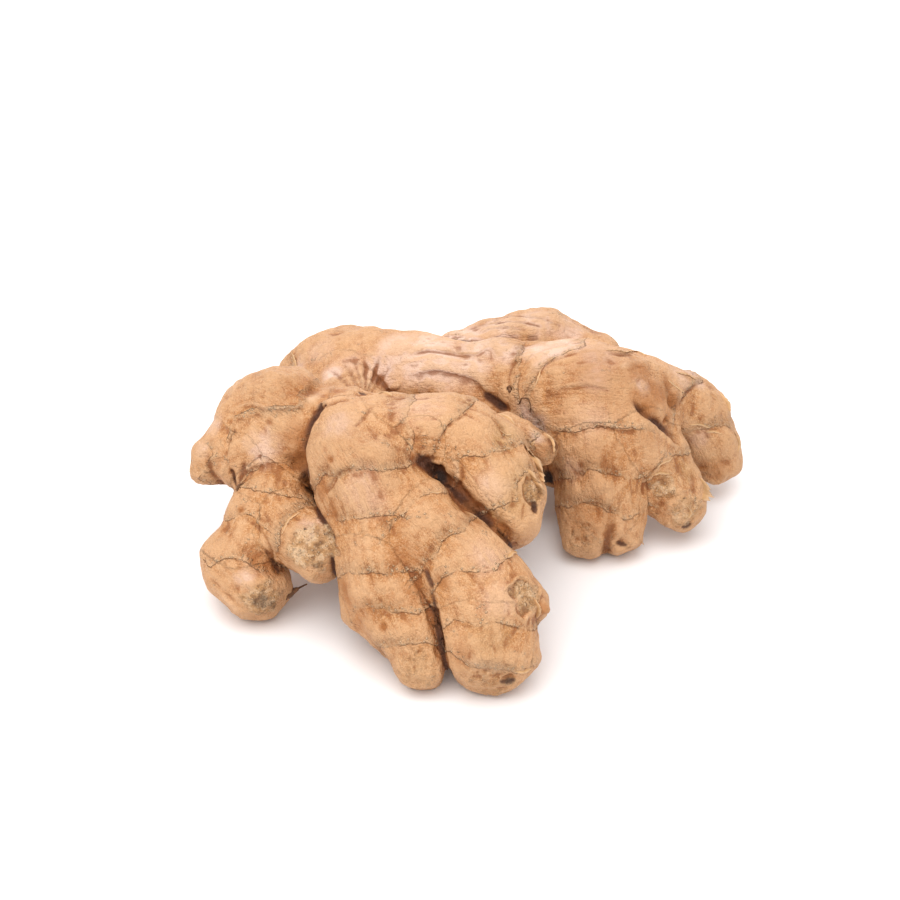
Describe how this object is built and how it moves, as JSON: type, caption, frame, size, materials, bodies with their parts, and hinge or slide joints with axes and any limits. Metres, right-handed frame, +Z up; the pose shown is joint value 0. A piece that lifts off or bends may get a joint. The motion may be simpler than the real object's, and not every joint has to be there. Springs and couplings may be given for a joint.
{
  "type": "ginger root",
  "caption": "Whole fresh ginger rhizome: a knobbly spine with branching fingers, ringed tan skin, lying on its lower fingertips.",
  "frame": {"origin": "on the table, under the middle of the root's box", "axes": "+Z up, +X to the right and +Y away from the viewer of the picture; the front fingers point to -Y"},
  "size_m": [0.1582, 0.1482, 0.0573],
  "materials": {
    "skin": "matte",
    "dry_scale": "matte"
  },
  "bodies": {
    "root": {"ginger_rhizome": "skin"}
  },
  "joints": []
}
